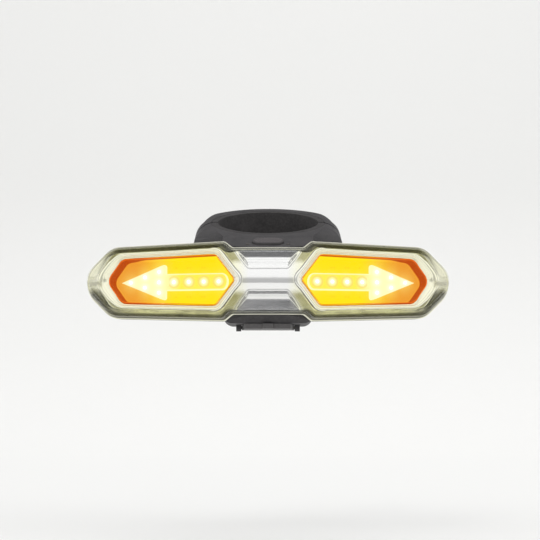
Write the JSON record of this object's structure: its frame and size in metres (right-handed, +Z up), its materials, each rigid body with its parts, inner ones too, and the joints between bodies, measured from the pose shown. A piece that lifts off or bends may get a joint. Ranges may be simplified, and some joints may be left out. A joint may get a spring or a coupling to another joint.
{
  "type": "bicycle turn signal light",
  "caption": "Waisted rear lamp with swept-back lobes, clear lens, chrome bezel and amber arrows, with a press button, a charging port and a seat post clamp.",
  "frame": {"origin": "on the seat post's axis, level with the screws of the clamp", "axes": "+X to the right seen from behind the bicycle, +Y forward towards the post, +Z up; the lens faces -Y and the post's axis leans 20 degrees back from +Z towards -Y"},
  "size_m": [0.108, 0.0645, 0.0429],
  "materials": {
    "dark_plastic": "fine moulded grain",
    "cover_plastic": "fine moulded grain",
    "soft_rubber": "matt",
    "button_rubber": "dotted",
    "clear_plastic": "polished",
    "chrome": "plated",
    "amber": "translucent",
    "arrow_light": "frosted",
    "lamp_dome": "polished",
    "circuit_board": "solder mask",
    "flex_film": "film",
    "chip_black": "moulded",
    "tinned_steel": "tinned",
    "screw_steel": "zinc plated",
    "cell_foil": "foil pouch",
    "lead_sleeve": "sleeved",
    "light_pipe": "clear"
  },
  "bodies": {
    "lamp": {"rear_housing": "dark_plastic", "clamp_bracket": "dark_plastic", "bracket_liner": "soft_rubber", "lens_gasket": "soft_rubber", "clear_lens": "clear_plastic", "chrome_bezel": "chrome", "amber_tray_left": "amber", "amber_tray_right": "amber", "arrow_guide_left": "arrow_light", "arrow_guide_right": "arrow_light", "leds_left": "lamp_dome", "leds_right": "lamp_dome", "led_board_left": "circuit_board", "led_board_right": "circuit_board", "main_board": "circuit_board", "switch_board": "circuit_board", "flex_left": "flex_film", "flex_right": "flex_film", "driver_chip": "chip_black", "tact_switch": "chip_black", "radio_module": "tinned_steel", "usb_socket": "tinned_steel", "clamp_nuts": "screw_steel", "bracket_screws": "screw_steel", "tip_screws": "screw_steel", "battery_cell": "cell_foil", "battery_leads": "lead_sleeve", "indicator_pipes": "light_pipe"},
    "button": {"power_button": "button_rubber"},
    "port_cover": {"usb_cover": "cover_plastic", "usb_plug": "soft_rubber"},
    "cap": {"clamp_cap": "dark_plastic", "cap_liner": "soft_rubber"},
    "left_screw": {"clamp_screw_left": "screw_steel"},
    "right_screw": {"clamp_screw_right": "screw_steel"}
  },
  "joints": [
    {"name": "power_button_press", "type": "slide", "parent": "lamp", "child": "button", "axis": [0, 0.4384, -0.8988], "range_m": [0, 0.0006], "stiffness_N_per_m": 1500},
    {"name": "usb_cover_swing", "type": "hinge", "parent": "lamp", "child": "port_cover", "pos_m": [0, -0.0213, -0.02355], "axis": [1, 0, 0], "range_deg": [0, 100]},
    {"name": "clamp_cap_off", "type": "slide", "parent": "lamp", "child": "cap", "axis": [0, 0.9397, 0.342], "range_m": [0, 0.03]},
    {"name": "left_screw_turn", "type": "hinge", "parent": "cap", "child": "left_screw", "pos_m": [-0.02035, 0, 0], "axis": [0, 0.9397, 0.342], "continuous": true},
    {"name": "right_screw_turn", "type": "hinge", "parent": "cap", "child": "right_screw", "pos_m": [0.02035, 0, 0], "axis": [0, 0.9397, 0.342], "continuous": true}
  ]
}
